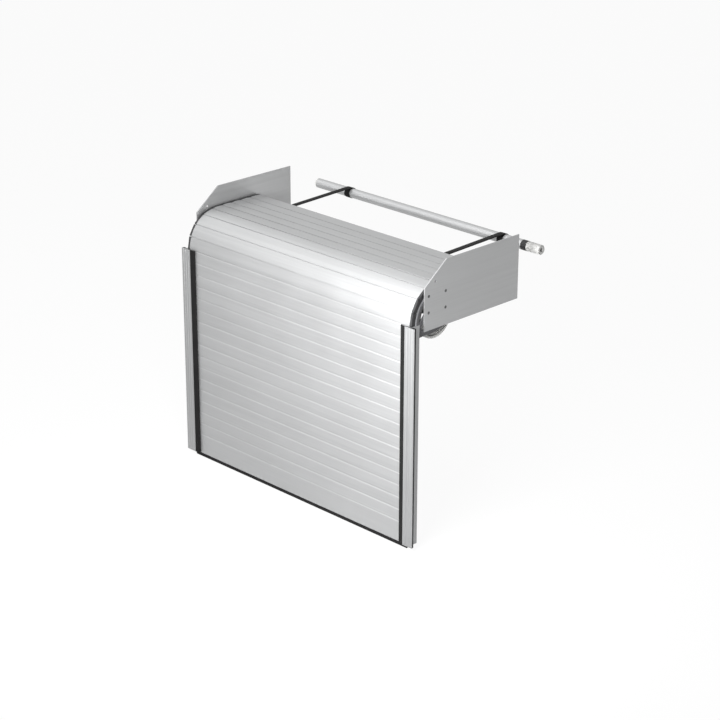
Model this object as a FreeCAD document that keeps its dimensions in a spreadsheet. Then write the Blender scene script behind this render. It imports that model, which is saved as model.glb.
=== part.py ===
import FreeCAD, Part
import math
import os

import Sketcher

# Roller shutter: two guide rails, a slatted curtain that rises in them, turns rearwards round a bend and
# lies flat, two side plates with the bend tracks and guide wheels, and a spring roller that pulls the curtain
# by straps. X is to the right, Y to the rear and Z up. The origin is at the sill, midway between the rails,
# on the plane of the bottom bar's outer face.

DRIVING_SIZES = {
    # curtain
    "slat_pitch": 35.0,
    "slat_depth": 10.5,
    "slat_length": 860.0,
    "slat_wall": 1.0,
    "slat_crown": 0.8,
    "bar_height": 59.5,
    "straight_slats": 16.0,
    "rear_slat_length": 38.0,
    "bend_radius": 102.8,
    "exit_tilt": 3.0,
    # the joint between two slats
    "face_gap": 0.8,
    "inner_gap": 2.6,
    "bead_radius": 1.9,
    "socket_radius": 2.8,
    "socket_wall": 0.6,
    "lip_outer_angle": 26.0,
    "lip_inner_angle": 47.0,
    "neck_thickness": 1.0,
    "cup_depth": 4.6,
    "bevel_height": 3.0,
    "bevel_depth": 0.6,
    # end shoes
    "shoe_thickness": 7.0,
    "shoe_gap": 1.0,
    "shoe_foot": 1.2,
    "shoe_relief": 1.7,
    "plug_length": 12.0,
    "plug_clearance": 0.2,
    # bottom bar and its seal
    "bar_channel": 6.0,
    "seal_drop": 13.0,
    "seal_clearance": 0.3,
    "seal_setback": 4.0,
    # strap groove of the rear slat
    "groove_radius": 2.2,
    "groove_setback": 4.0,
    "groove_slot": 1.8,
    # guide rails
    "rail_rise": 1.0,
    "opening_width": 841.0,
    "flange_width": 34.5,
    "flange_front": 8.0,
    "flange_thickness": 2.0,
    "flute_width": 1.6,
    "flute_depth": 0.6,
    "flute_setback": 8.0,
    "side_wall": 3.0,
    "rail_back": 26.0,
    "back_wall": 2.5,
    "channel_clearance": 1.5,
    "end_clearance": 1.0,
    "fin_thickness": 1.2,
    "fin_width": 10.0,
    "leg_setback": 0.5,
    "rail_hole_radius": 2.25,
    "rail_sink_radius": 4.5,
    "rail_hole_first": 60.0,
    "rail_hole_spacing": 165.0,
    "rail_holes": 4.0,
    # seals of the rails
    "lip_reach": 16.0,
    "lip_thickness": 2.2,
    "lip_cover": 2.0,
    "lip_nose": 5.5,
    "lip_gap": 0.95,
    "lip_clearance": 0.3,
    "gasket_depth": 6.0,
    "gasket_width": 13.2,
    "gasket_corner": 0.8,
    # side plates
    "plate_thickness": 3.0,
    "plate_gap": 0.3,
    "plate_setback": 14.0,
    "plate_reach": 297.8,
    "plate_drop": 21.5,
    "plate_rise": 60.95,
    "cut_drop": 0.6,
    "cut_behind": 17.4,
    "spare_hole_radius": 3.0,
    "spare_hole_ahead": 23.3,
    "spare_hole_rise": 8.95,
    # screws
    "screw_radius": 2.0,
    "screw_clearance": 0.05,
    "screw_head_radius": 4.2,
    "screw_head_height": 2.4,
    "screw_flush": 0.1,
    "screw_ahead": 47.3,
    "screw_behind": 15.7,
    "screw_inset": 3.2,
    "screw_spacing": 44.8,
    # bend tracks
    "track_clearance": 0.3,
    "track_width": 11.0,
    "track_depth": 7.0,
    "track_setback": 112.0,
    "ease_angle": 54.0,
    "ease_growth": 8.8,
    "ease_low_rear": -6.8,
    "ease_low_drop": 2.3,
    "ease_mid_rear": 7.2,
    "ease_mid_drop": 0.85,
    "ease_high_rear": 37.2,
    "arm_depth": 10.0,
    "web_rear_rise": 20.5,
    "web_edge_behind": 20.2,
    "web_edge_setback": 22.0,
    "web_edge_drop": 32.5,
    "web_edge_radius": 170.0,
    "window_rim": 9.2,
    "window_inner": 30.0,
    "window_low": 3.0,
    "window_high": 84.0,
    "window_foot": 14.0,
    "lug_thickness": 6.0,
    "lug_height": 35.2,
    "lug_width": 17.0,
    "lug_screw_drop": 17.2,
    "boss_radius": 12.0,
    "boss_length": 13.5,
    # guide wheels
    "wheel_radius": 60.0,
    "wheel_width": 16.0,
    "wheel_rim": 6.0,
    "wheel_web": 3.0,
    "wheel_hub_radius": 13.0,
    "wheel_hub_end": 1.5,
    "wheel_gap": 0.5,
    "wheel_spokes": 6.0,
    "wheel_window_inner": 18.0,
    "wheel_window_outer": 49.0,
    "wheel_window_angle": 22.0,
    "axle_radius": 5.0,
    "axle_clearance": 0.15,
    "axle_tail": 2.5,
    "clip_radius": 8.0,
    "clip_thickness": 1.0,
    "clip_groove": 0.8,
    # spring roller
    "roller_reach": 402.2,
    "roller_drop": 10.35,
    "roller_half": 435.0,
    "tube_radius": 14.0,
    "tube_wall": 1.5,
    "tube_left": 428.0,
    "tube_right": 370.5,
    "collar_width": 18.5,
    "collar_proud": 0.3,
    "collar_wall": 1.5,
    "collar_spigot": 15.0,
    "bearing_radius": 13.8,
    "bearing_clearance": 0.25,
    "bearing_gap": 0.3,
    "bearing_chamfer": 1.5,
    "bearing_nose": 4.0,
    "journal_length": 22.0,
    "pin_bore_radius": 5.5,
    "pin_bore_depth": 16.0,
    "spindle_radius": 4.0,
    "spring_left": 150.0,
    "spring_right": 330.0,
    "spring_radius": 9.5,
    "spring_wire": 3.0,
    "anchor_width": 15.0,
    # pull straps
    "strap_offset": 297.0,
    "strap_width": 20.0,
    "strap_thickness": 1.0,
    "strap_gap": 0.45,
    "strap_seat": 0.05,
    "strap_bead": 1.6,
    "wrap_ahead": 125.0,
    "wrap_behind": 270.0,
}

doc = FreeCAD.newDocument("roller_shutter")
sheet = doc.addObject("Spreadsheet::Sheet", "Sizes")
for row, (name, number) in enumerate(DRIVING_SIZES.items(), start=1):
    sheet.set(f"A{row}", name)
    sheet.set(f"B{row}", str(number))
    sheet.setAlias(f"B{row}", name)
doc.recompute()


class Size:
    """A size in millimetres or degrees, with the expression that binds it to the sheet."""

    def __init__(self, value, text):
        self.value = float(value)
        self.text = text

    def __float__(self):
        return self.value

    def __add__(self, other):
        other = as_size(other)
        return Size(self.value + other.value, f"({self.text} + {other.text})")

    def __radd__(self, other):
        return as_size(other) + self

    def __sub__(self, other):
        other = as_size(other)
        return Size(self.value - other.value, f"({self.text} - {other.text})")

    def __rsub__(self, other):
        return as_size(other) - self

    def __mul__(self, other):
        other = as_size(other)
        return Size(self.value * other.value, f"({self.text} * {other.text})")

    def __rmul__(self, other):
        return as_size(other) * self

    def __truediv__(self, other):
        other = as_size(other)
        return Size(self.value / other.value, f"({self.text} / {other.text})")

    def __neg__(self):
        return Size(-self.value, f"(-{self.text})")


def as_size(number):
    """A Size as it is, or a plain number as a Size of its own."""
    return number if isinstance(number, Size) else Size(number, f"({float(number)!r})")


def root(size):
    return Size(math.sqrt(size.value), f"sqrt({size.text})")


def whole(size):
    return Size(math.floor(size.value), f"floor({size.text})")


def sine(size):
    return Size(math.sin(math.radians(size.value)), f"sin({size.text})")


def cosine(size):
    return Size(math.cos(math.radians(size.value)), f"cos({size.text})")


def arc_sine(size):
    return Size(math.degrees(math.asin(size.value)), f"(asin({size.text}) / 1 deg)")


class Sizes:
    """The sheet's cells by name."""

    def __getattr__(self, name):
        return Size(sheet.get(name), f"Sizes.{name}")


size = Sizes()


# Drawing and solid-making helpers


def bind(thing, path, value):
    """Bind a property, or one part of it, to the sheet."""
    thing.setExpression(path, as_size(value).text)


def new_body(label):
    body = doc.addObject("PartDesign::Body", label)
    body.Label = label
    return body


def origin_feature(body, role):
    return [feature for feature in body.Origin.OriginFeatures if feature.Role == role][0]


def new_sketch(body, role, offset=0.0):
    """A sketch on one of the body's own origin planes, moved along the plane's normal."""
    sketch = body.newObject("Sketcher::SketchObject", f"{body.Name}_sketch")
    sketch.AttachmentSupport = [(origin_feature(body, role), "")]
    sketch.MapMode = "FlatFace"
    bind(sketch, "AttachmentOffset.Base.z", offset)
    return sketch


def arc_between(start, end, radius):
    """The short arc from start to end: it turns left for a positive radius and right for a negative one."""
    chord = end - start
    left = FreeCAD.Vector(-chord.y, chord.x, 0).normalize()
    rise = math.sqrt(max(radius**2 - (chord.Length / 2) ** 2, 0.0))
    centre = (start + end) * 0.5 + left * math.copysign(rise, radius)
    first, last = (start, end) if radius > 0 else (end, start)
    angles = [math.atan2(point.y - centre.y, point.x - centre.x) for point in (first, last)]
    circle = Part.Circle(centre, FreeCAD.Vector(0, 0, 1), abs(radius))
    return Part.ArcOfCircle(circle, *angles)


def pin(sketch, kind, place, value):
    """Add one dimension and bind it to the sheet."""
    value = as_size(value)
    index = sketch.addConstraint(Sketcher.Constraint(kind, *place, value.value))
    if "Sizes." in value.text:
        sketch.setExpression(f"Constraints[{index}]", value.text)


def draw(sketch, outline):
    """Draw a closed outline and pin every corner. A corner is (x, y), or (x, y, radius) where an arc leads to
    the next corner, with the radius positive for a left turn."""
    first = sketch.GeometryCount
    corners = [tuple(as_size(entry) for entry in corner) for corner in outline]
    ends = []
    for here, there in zip(corners, corners[1:] + corners[:1]):
        start = FreeCAD.Vector(here[0].value, here[1].value, 0)
        end = FreeCAD.Vector(there[0].value, there[1].value, 0)
        if len(here) == 2:
            sketch.addGeometry(Part.LineSegment(start, end))
            ends.append((1, 2))
        else:
            sketch.addGeometry(arc_between(start, end, here[2].value))
            ends.append((1, 2) if here[2].value > 0 else (2, 1))
    count = len(corners)
    for index, corner in enumerate(corners):
        after = (index + 1) % count
        edge_end = (first + index, ends[index][1])
        next_start = (first + after, ends[after][0])
        sketch.addConstraint(Sketcher.Constraint("Coincident", *edge_end, *next_start))
        pin(sketch, "DistanceX", (first + index, ends[index][0]), corner[0])
        pin(sketch, "DistanceY", (first + index, ends[index][0]), corner[1])
        if len(corner) == 3:
            radius = corner[2] if corner[2].value > 0 else -corner[2]
            pin(sketch, "Radius", (first + index,), radius)


def draw_circle(sketch, across, up, radius):
    index = sketch.GeometryCount
    centre = FreeCAD.Vector(float(across), float(up), 0)
    sketch.addGeometry(Part.Circle(centre, FreeCAD.Vector(0, 0, 1), float(radius)))
    pin(sketch, "DistanceX", (index, 3), across)
    pin(sketch, "DistanceY", (index, 3), up)
    pin(sketch, "Radius", (index,), radius)


def pad(body, sketch, length, side_type="One side", reverse=False):
    feature = body.newObject("PartDesign::Pad", f"{body.Name}_pad")
    feature.Profile = sketch
    feature.SideType = side_type
    feature.Reversed = reverse
    bind(feature, "Length", length)
    return feature


def pocket(body, sketch, length, side_type="One side", reverse=False):
    feature = body.newObject("PartDesign::Pocket", f"{body.Name}_pocket")
    feature.Profile = sketch
    feature.SideType = side_type
    feature.Reversed = reverse
    bind(feature, "Length", length)
    return feature


def revolve(body, outline):
    """Turn an outline of (distance along X, radius) corners about the body's X axis."""
    sketch = new_sketch(body, "XY_Plane")
    draw(sketch, outline)
    feature = body.newObject("PartDesign::Revolution", f"{body.Name}_turned")
    feature.Profile = sketch
    feature.ReferenceAxis = (sketch, ["H_Axis"])
    feature.Angle = 360.0
    return feature


def place(thing, across, rear, up, axis=(1, 0, 0), angle=0.0):
    """Bind where a sub-part stands, and its turn about one axis."""
    turn = FreeCAD.Rotation(FreeCAD.Vector(*axis), float(angle) or 1.0)
    thing.Placement = FreeCAD.Placement(FreeCAD.Vector(), turn)
    bind(thing, "Placement.Rotation.Angle", angle)
    bind(thing, "Placement.Base.x", across)
    bind(thing, "Placement.Base.y", rear)
    bind(thing, "Placement.Base.z", up)


def sided(side, outline):
    """An outline drawn for the right-hand side, or its mirror image for the left."""
    return [(side * corner[0], corner[1], *(side * radius for radius in corner[2:])) for corner in outline]


def block(left, right, low, high):
    return [(left, low), (right, low), (right, high), (left, high)]


nodes = []


def keep(thing, label=None):
    """Count an object as a sub-part of the shutter."""
    if label:
        thing.Label = label
    nodes.append(thing)
    return thing


def group(label, placed):
    """A sub-part of several like solids: each entry is a solid and the arguments of its place."""
    links = []
    for number, (solid, where) in enumerate(placed, start=1):
        link = doc.addObject("App::Link", f"{label}_{number}")
        link.LinkedObject = solid
        place(link, *where)
        links.append(link)
    compound = doc.addObject("Part::Compound", label)
    compound.Links = links
    return keep(compound)


SIDES = {"left": -1, "right": 1}
HALF_TURN = 180.0

# Path of the curtain, as the slats' hinge points

half_depth = size.slat_depth / 2
hinge_radius = size.bend_radius - half_depth
bend_centre = size.bend_radius
bend_step = 2 * arc_sine(size.slat_pitch / 2 / hinge_radius)
straight_slats = whole(size.straight_slats)
bend_height = size.bar_height + straight_slats * size.slat_pitch
flat_height = bend_height + hinge_radius
BEND_JOINTS = 3
EXIT_JOINT = BEND_JOINTS + 1
FLAT_JOINTS = 4


def joint_point(number):
    """The rear distance and height of a hinge point. Number 0 is where the bend starts, and the numbers rise
    rearwards."""
    if number <= 0:
        return half_depth, bend_height + number * size.slat_pitch
    if number <= BEND_JOINTS:
        angle = number * bend_step
        return bend_centre - hinge_radius * cosine(angle), bend_height + hinge_radius * sine(angle)
    rear, up = joint_point(BEND_JOINTS)
    exit_height = flat_height - size.slat_pitch * sine(size.exit_tilt)
    rise = exit_height - up
    exit_rear = rear + root(size.slat_pitch * size.slat_pitch - rise * rise)
    if number == EXIT_JOINT:
        return exit_rear, exit_height
    first_flat = exit_rear + size.slat_pitch * cosine(size.exit_tilt)
    return first_flat + (number - EXIT_JOINT - 1) * size.slat_pitch, flat_height


def lean(number):
    """How far the slat between hinge points number - 1 and number leans rearwards, in degrees from upright."""
    if number <= 0:
        return as_size(0.0)
    if number <= BEND_JOINTS:
        return (number - 0.5) * bend_step
    if number == EXIT_JOINT:
        rise = joint_point(EXIT_JOINT)[1] - joint_point(BEND_JOINTS)[1]
        return 90.0 - arc_sine(rise / size.slat_pitch)
    if number == EXIT_JOINT + 1:
        return 90.0 - size.exit_tilt
    return as_size(90.0)


def slat_place(number, across=0.0):
    rear, up = joint_point(number - 1)
    return across, rear, up, (1, 0, 0), -lean(number)


# Curtain sections. Across is from the outer face to the inner one, up is along the curtain.

cup_half = half_depth - size.slat_wall
ring_radius = size.socket_radius + size.socket_wall
chamber_low = size.socket_radius + size.slat_wall


def on_circle(radius, height):
    return root(radius * radius - height * height)


def round_corners(radius, first, last, steps, up=0.0):
    """Evenly spaced corners on a circle about (0, up), between two angles from the inner face's side."""
    turn = (last - first) / steps
    angles = [first + turn * number for number in range(steps + 1)]
    return [(radius * cosine(angle), up + radius * sine(angle)) for angle in angles]


def crown_radius(low, high):
    """The radius of an outer face that bulges by the crown between two heights."""
    rise = high - low
    return rise * rise / (8 * size.slat_crown) + size.slat_crown / 2


BEAD_SIDES = 8
SOCKET_SIDES = 8
LIP_SIDES = 2


def socket_end():
    """The lower end of a slat, from its outer to its inner face: a socket that hooks over the bead below."""
    face = size.face_gap / 2
    inner = size.inner_gap / 2
    outer_lip = size.lip_outer_angle + 90.0
    inner_lip = size.lip_inner_angle - 90.0
    outer_root = 180.0 - arc_sine(face / ring_radius)
    inner_root = arc_sine(inner / ring_radius)
    side_turn = (360.0 - outer_lip - inner_lip) / SOCKET_SIDES
    corner_radius = size.socket_radius / cosine(side_turn / 2)
    return [
        (-half_depth, face),
        *round_corners(ring_radius, outer_root, 360.0 - outer_lip, LIP_SIDES),
        *round_corners(corner_radius, 360.0 - outer_lip, inner_lip, SOCKET_SIDES),
        *round_corners(ring_radius, inner_lip, inner_root, LIP_SIDES),
        (half_depth, inner),
    ]


def bead_end(top):
    """The upper end of a slat, from its inner to its outer face: a bead on a neck, between the two walls."""
    neck = size.neck_thickness / 2
    floor = top - size.cup_depth
    neck_angle = 90.0 - arc_sine(neck / size.bead_radius)
    inner = top - size.inner_gap / 2
    face = top - size.face_gap / 2
    return [
        (half_depth, inner),
        (cup_half, inner),
        (cup_half, floor),
        (neck, floor),
        *round_corners(size.bead_radius, -neck_angle, 180.0 + neck_angle, BEAD_SIDES, top),
        (-neck, floor),
        (-cup_half, floor),
        (-cup_half, face),
        (size.bevel_depth - half_depth, face),
    ]


def strap_end(top):
    """The rear end of the last slat, from its inner to its outer face: a groove that holds both straps."""
    groove = size.groove_radius
    slot = size.groove_slot / 2
    centre = top - size.groove_setback
    mouth = centre + on_circle(groove, slot)
    return [
        (half_depth, top),
        (slot, top),
        (slot, mouth, -groove),
        (groove, centre, -groove),
        (0.0, centre - groove, -groove),
        (-groove, centre, -groove),
        (-slot, mouth),
        (-slot, top),
    ]


def extrude_across(label, outlines, length):
    """An extrusion that runs across the shutter, centred on its middle."""
    body = new_body(label)
    sketch = new_sketch(body, "YZ_Plane")
    for outline in outlines:
        draw(sketch, outline)
    pad(body, sketch, length, side_type="Symmetric")
    return body


def slat(label, number):
    top = size.slat_pitch
    crown_top = top - size.face_gap / 2 - size.bevel_height
    crown = (-half_depth, crown_top, crown_radius(size.face_gap / 2, crown_top))
    chamber = block(-cup_half, cup_half, chamber_low, slat_roof)
    body = extrude_across(label, [socket_end() + bead_end(top) + [crown], chamber], size.slat_length)
    place(body, *slat_place(number))
    return keep(body)


def rear_slat(label, number):
    top = size.rear_slat_length
    crown = (-half_depth, top, crown_radius(size.face_gap / 2, top))
    chamber = block(-cup_half, cup_half, chamber_low, rear_roof)
    body = extrude_across(label, [socket_end() + strap_end(top) + [crown], chamber], size.slat_length)
    place(body, *slat_place(number))
    return keep(body)


lowest_joint = -int(straight_slats.value)
last_joint = EXIT_JOINT + FLAT_JOINTS
slat_roof = size.slat_pitch - size.cup_depth - size.slat_wall
rear_roof = size.rear_slat_length - size.groove_setback - size.groove_radius - size.slat_wall
bar_roof = size.bar_height - size.cup_depth - size.slat_wall
bar_floor = size.bar_channel + size.slat_wall
bar_middle = (bar_roof + bar_floor) / 2


def bottom_bar():
    """The tall bottom member, with a channel below that holds the seal and two chambers above it."""
    foot = [
        (-half_depth, 0.0),
        (-cup_half, 0.0),
        (-cup_half, size.bar_channel),
        (cup_half, size.bar_channel),
        (cup_half, 0.0),
        (half_depth, 0.0),
    ]
    bevel = (-half_depth, size.bar_height - size.face_gap / 2 - size.bevel_height)
    lower = block(-cup_half, cup_half, bar_floor, bar_middle - size.slat_wall / 2)
    upper = block(-cup_half, cup_half, bar_middle + size.slat_wall / 2, bar_roof)
    outline = foot + bead_end(size.bar_height) + [bevel]
    body = extrude_across("bottom_bar", [outline, lower, upper], size.slat_length)
    place(body, 0.0, half_depth, 0.0)
    return keep(body)


def bottom_seal():
    """The rubber strip under the bottom bar: a foot in the bar's channel and a rounded bulb below."""
    side = cup_half - size.seal_clearance
    bulb = half_depth - size.seal_clearance
    low = bulb - size.seal_drop
    outline = [
        (-side, size.bar_channel - size.seal_clearance),
        (-side, -size.seal_clearance),
        (-bulb, -size.seal_clearance),
        (-bulb, low, bulb),
        (0.0, -size.seal_drop, bulb),
        (bulb, low),
        (bulb, -size.seal_clearance),
        (side, -size.seal_clearance),
        (side, size.bar_channel - size.seal_clearance),
    ]
    body = extrude_across("bottom_seal", [outline], size.slat_length - 2 * size.seal_setback)
    place(body, 0.0, half_depth, 0.0)
    return keep(body)


# End shoes: a black running foot on each slat end, with a plug in the slat's chamber

slat_end = size.slat_length / 2
shoe_foot = half_depth + size.shoe_foot
shoe_front = half_depth + size.slat_crown


def end_shoe(name, side, low, high, plug_low, plug_high):
    body = new_body(name)
    face = slat_end * side
    flange = new_sketch(body, "YZ_Plane", face)
    outline = [
        (-shoe_front, low),
        (0.0, low),
        (shoe_foot, low + size.shoe_relief),
        (shoe_foot, high - size.shoe_relief),
        (0.0, high),
        (-shoe_front, high),
    ]
    draw(flange, outline)
    pad(body, flange, size.shoe_thickness, reverse=side < 0)
    plug = new_sketch(body, "YZ_Plane", face)
    half = cup_half - size.plug_clearance
    draw(plug, block(-half, half, plug_low + size.plug_clearance, plug_high - size.plug_clearance))
    pad(body, plug, size.plug_length, reverse=side > 0)
    return body


shoe_edge = size.shoe_gap / 2
slat_shoes, rear_shoes, bar_shoes = [], [], []
for name, side in SIDES.items():
    high = size.slat_pitch - shoe_edge
    slat_shoes.append(end_shoe(f"slat_shoe_{name}", side, shoe_edge, high, chamber_low, slat_roof))
    high = size.rear_slat_length
    rear_shoes.append(end_shoe(f"rear_shoe_{name}", side, shoe_edge, high, chamber_low, rear_roof))
    high = size.bar_height - shoe_edge
    plug_low = bar_middle + size.slat_wall / 2
    bar_shoes.append(end_shoe(f"bar_shoe_{name}", side, as_size(0.0), high, plug_low, bar_roof))


def shoes_of(label, numbers):
    """The shoes of the slats below the given hinge points."""
    placed = []
    for number in numbers:
        pair = rear_shoes if number == last_joint + 1 else slat_shoes
        placed += [(shoe, slat_place(number)) for shoe in pair]
    if lowest_joint + 1 in numbers:
        placed += [(shoe, (0.0, half_depth, 0.0)) for shoe in bar_shoes]
    return group(label, placed)


bottom_bar()
bottom_seal()
for number in range(lowest_joint + 1, last_joint + 1):
    slat(f"slat_{number - lowest_joint:02d}", number)
rear_slat(f"slat_{last_joint + 1 - lowest_joint:02d}", last_joint + 1)
shoes_of("shoes_rising", range(lowest_joint + 1, 0))
shoes_of("shoes_entry", [0])
shoes_of("shoes_bend", range(1, BEND_JOINTS))
shoes_of("shoes_exit_low", [BEND_JOINTS])
shoes_of("shoes_exit_mid", [EXIT_JOINT])
shoes_of("shoes_exit_top", [EXIT_JOINT + 1])
shoes_of("shoes_flat", range(EXIT_JOINT + 2, last_joint + 2))

# Guide rails and their seals, drawn in plan

flange_inner = size.opening_width / 2
flange_outer = flange_inner + size.flange_width
flange_face = -size.flange_front
flange_rear = flange_face + size.flange_thickness
shoe_end = slat_end + size.shoe_thickness
wall_inner = shoe_end + size.end_clearance
wall_outer = wall_inner + size.side_wall
channel_back = half_depth + shoe_foot + size.channel_clearance
rail_height = bend_height + size.rail_rise
fin_rear = -size.slat_crown - size.channel_clearance
fin_front = fin_rear - size.fin_thickness
fin_inner = wall_inner - size.fin_width
leg_inner = flange_inner + size.leg_setback
leg_outer = leg_inner + size.back_wall
channel_middle = (fin_rear + channel_back) / 2
lug_screw_across = wall_inner - size.boss_length / 2
lug_screw_up = rail_height - size.lug_screw_drop


def rail_outline():
    flutes = []
    spacing = (size.flange_width - 2 * size.flute_setback) / 2
    for number in range(3):
        middle = flange_inner + size.flute_setback + number * spacing
        flutes += [
            (middle - size.flute_width / 2, flange_face),
            (middle, flange_face + size.flute_depth),
            (middle + size.flute_width / 2, flange_face),
        ]
    return [
        (flange_inner, flange_face),
        *flutes,
        (flange_outer, flange_face),
        (flange_outer, flange_rear),
        (wall_outer, flange_rear),
        (wall_outer, size.rail_back),
        (wall_inner, size.rail_back),
        (wall_inner, channel_back + size.back_wall),
        (leg_outer, channel_back + size.back_wall),
        (leg_outer, size.rail_back),
        (leg_inner, size.rail_back),
        (leg_inner, channel_back),
        (wall_inner, channel_back),
        (wall_inner, fin_rear),
        (fin_inner, fin_rear),
        (fin_inner, fin_front),
        (wall_inner, fin_front),
        (wall_inner, flange_rear),
        (flange_inner, flange_rear),
    ]


def guide_rail(name, side):
    body = new_body(f"guide_rail_{name}")
    section = new_sketch(body, "XY_Plane")
    draw(section, sided(side, rail_outline()))
    pad(body, section, rail_height)
    # fixing holes through the side wall, sunk on the channel side for flush heads
    fixing = new_sketch(body, "YZ_Plane", side * wall_inner)
    draw_circle(fixing, channel_middle, size.rail_hole_first, size.rail_hole_radius)
    doc.recompute()
    hole = body.newObject("PartDesign::Hole", f"{body.Name}_fixing")
    hole.Profile = fixing
    hole.ThreadType = "None"
    hole.DepthType = "Dimension"
    hole.Reversed = side > 0
    hole.HoleCutType = "Countersink"
    hole.HoleCutCustomValues = True
    hole.HoleCutCountersinkAngle = 90.0
    bind(hole, "Depth", 2 * size.side_wall)
    bind(hole, "Diameter", 2 * size.rail_hole_radius)
    bind(hole, "HoleCutDiameter", 2 * size.rail_sink_radius)
    row = body.newObject("PartDesign::LinearPattern", f"{body.Name}_row")
    row.Originals = [hole]
    row.Direction = (origin_feature(body, "Z_Axis"), [""])
    bind(row, "Length", size.rail_hole_spacing * (whole(size.rail_holes) - 1))
    bind(row, "Occurrences", whole(size.rail_holes))
    body.Tip = row
    doc.recompute()
    # a hole in the back wall for the screw of the bend track
    behind = new_sketch(body, "XZ_Plane", -(channel_back + size.back_wall / 2))
    draw_circle(behind, side * lug_screw_across, lug_screw_up, size.screw_radius + size.screw_clearance)
    pocket(body, behind, 2 * size.back_wall, side_type="Symmetric")
    return keep(body)


def lip_seal(name, side):
    """The rubber strip in the rail's front pocket, with a bent lip that covers the flange's edge and wipes
    the curtain's face."""
    thick = size.lip_thickness
    tip = flange_inner - size.lip_reach
    wipe = -size.slat_crown - size.lip_gap
    foot_inner = flange_inner + thick
    foot_outer = wall_inner - size.lip_clearance
    foot_rear = fin_front - size.lip_clearance
    outline = [
        (foot_outer, flange_rear),
        (flange_inner, flange_rear),
        (flange_inner, flange_face),
        (flange_inner - size.lip_cover, flange_face),
        (tip, -size.lip_nose),
        (tip, wipe),
        (tip + thick, wipe),
        (tip + thick, thick / 2 - size.lip_nose),
        (flange_inner - size.lip_cover, flange_rear),
        (foot_inner, foot_rear),
        (foot_outer, foot_rear),
    ]
    body = new_body(f"lip_seal_{name}")
    sketch = new_sketch(body, "XY_Plane")
    draw(sketch, sided(side, outline))
    pad(body, sketch, rail_height)
    return keep(body)


def body_gasket(name, side):
    """The soft strip behind the front flange, against the edge of the opening."""
    outer = wall_outer + size.gasket_width
    rear = flange_rear + size.gasket_depth
    outline = [
        (wall_outer, flange_rear),
        (outer, flange_rear),
        (outer, rear - size.gasket_corner),
        (outer - size.gasket_corner, rear),
        (wall_outer + size.gasket_corner, rear),
        (wall_outer, rear - size.gasket_corner),
    ]
    body = new_body(f"body_gasket_{name}")
    sketch = new_sketch(body, "XY_Plane")
    draw(sketch, sided(side, outline))
    pad(body, sketch, rail_height)
    return keep(body)


for name, side in SIDES.items():
    guide_rail(name, side)
    lip_seal(name, side)
    body_gasket(name, side)

# Side plates

plate_inner = wall_outer + size.plate_gap
plate_outer = plate_inner + size.plate_thickness
plate_bottom = bend_height - size.plate_drop
plate_top = flat_height + size.plate_rise
plate_front = size.rail_back + size.plate_setback
plate_rear = bend_centre + size.plate_reach
track_radius = hinge_radius * cosine(bend_step / 2) - shoe_foot - size.track_clearance
screw_hole = size.screw_radius + size.screw_clearance
screw_front = bend_centre - size.screw_ahead
screw_rear = bend_centre + size.screw_behind
screw_upper = bend_height + on_circle(track_radius - size.screw_inset, size.screw_ahead)
screw_lower = screw_upper - size.screw_spacing
plate_screws = [(rear, up) for rear in (screw_front, screw_rear) for up in (screw_upper, screw_lower)]


def side_plate(name, side):
    body = new_body(f"side_plate_{name}")
    sketch = new_sketch(body, "YZ_Plane", side * plate_inner)
    outline = [
        (plate_front, plate_bottom),
        (plate_rear, plate_bottom),
        (plate_rear, plate_top),
        (bend_centre + size.cut_behind, plate_top),
        (plate_front, flat_height - size.cut_drop),
    ]
    draw(sketch, outline)
    spare_rear = bend_centre - size.spare_hole_ahead
    draw_circle(sketch, spare_rear, flat_height + size.spare_hole_rise, size.spare_hole_radius)
    pad(body, sketch, size.plate_thickness, reverse=side < 0)
    # screw holes, sunk on the outer face for flush heads
    fixing = new_sketch(body, "YZ_Plane", side * plate_outer)
    for rear, up in plate_screws:
        draw_circle(fixing, rear, up, screw_hole)
    doc.recompute()
    hole = body.newObject("PartDesign::Hole", f"{body.Name}_screw_holes")
    hole.Profile = fixing
    hole.ThreadType = "None"
    hole.DepthType = "Dimension"
    hole.Reversed = side < 0
    hole.HoleCutType = "Countersink"
    hole.HoleCutCustomValues = True
    hole.HoleCutCountersinkAngle = 90.0
    bind(hole, "Depth", 2 * size.plate_thickness)
    bind(hole, "Diameter", 2 * screw_hole)
    bind(hole, "HoleCutDiameter", 2 * (size.screw_head_radius + size.screw_flush))
    return keep(body)


# Bend tracks: the moulding on each plate's inner side that the shoes run round and along

track_top = flat_height - shoe_foot - size.track_clearance
track_end = plate_rear - size.track_setback
level_start = bend_centre + size.ease_high_rear


def bend_polar(angle, radius):
    """A point at a radius from the bend's centre and an angle up from its front."""
    return bend_centre - radius * cosine(angle), bend_height + radius * sine(angle)


def bend_window(start, end, inner, outer):
    """A window between two angles and two radii about the bend's centre."""
    return [
        bend_polar(start, inner),
        (*bend_polar(start, outer), -outer),
        bend_polar(end, outer),
        (*bend_polar(end, inner), inner),
    ]


running_surface = [
    (bend_centre - on_circle(track_radius, size.rail_rise), rail_height, -track_radius),
    (*bend_polar(size.ease_angle, track_radius), -track_radius - size.ease_growth),
    (bend_centre + size.ease_low_rear, track_top - size.ease_low_drop),
    (bend_centre + size.ease_mid_rear, track_top - size.ease_mid_drop),
    (level_start, track_top),
    (track_end, track_top),
]


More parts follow.
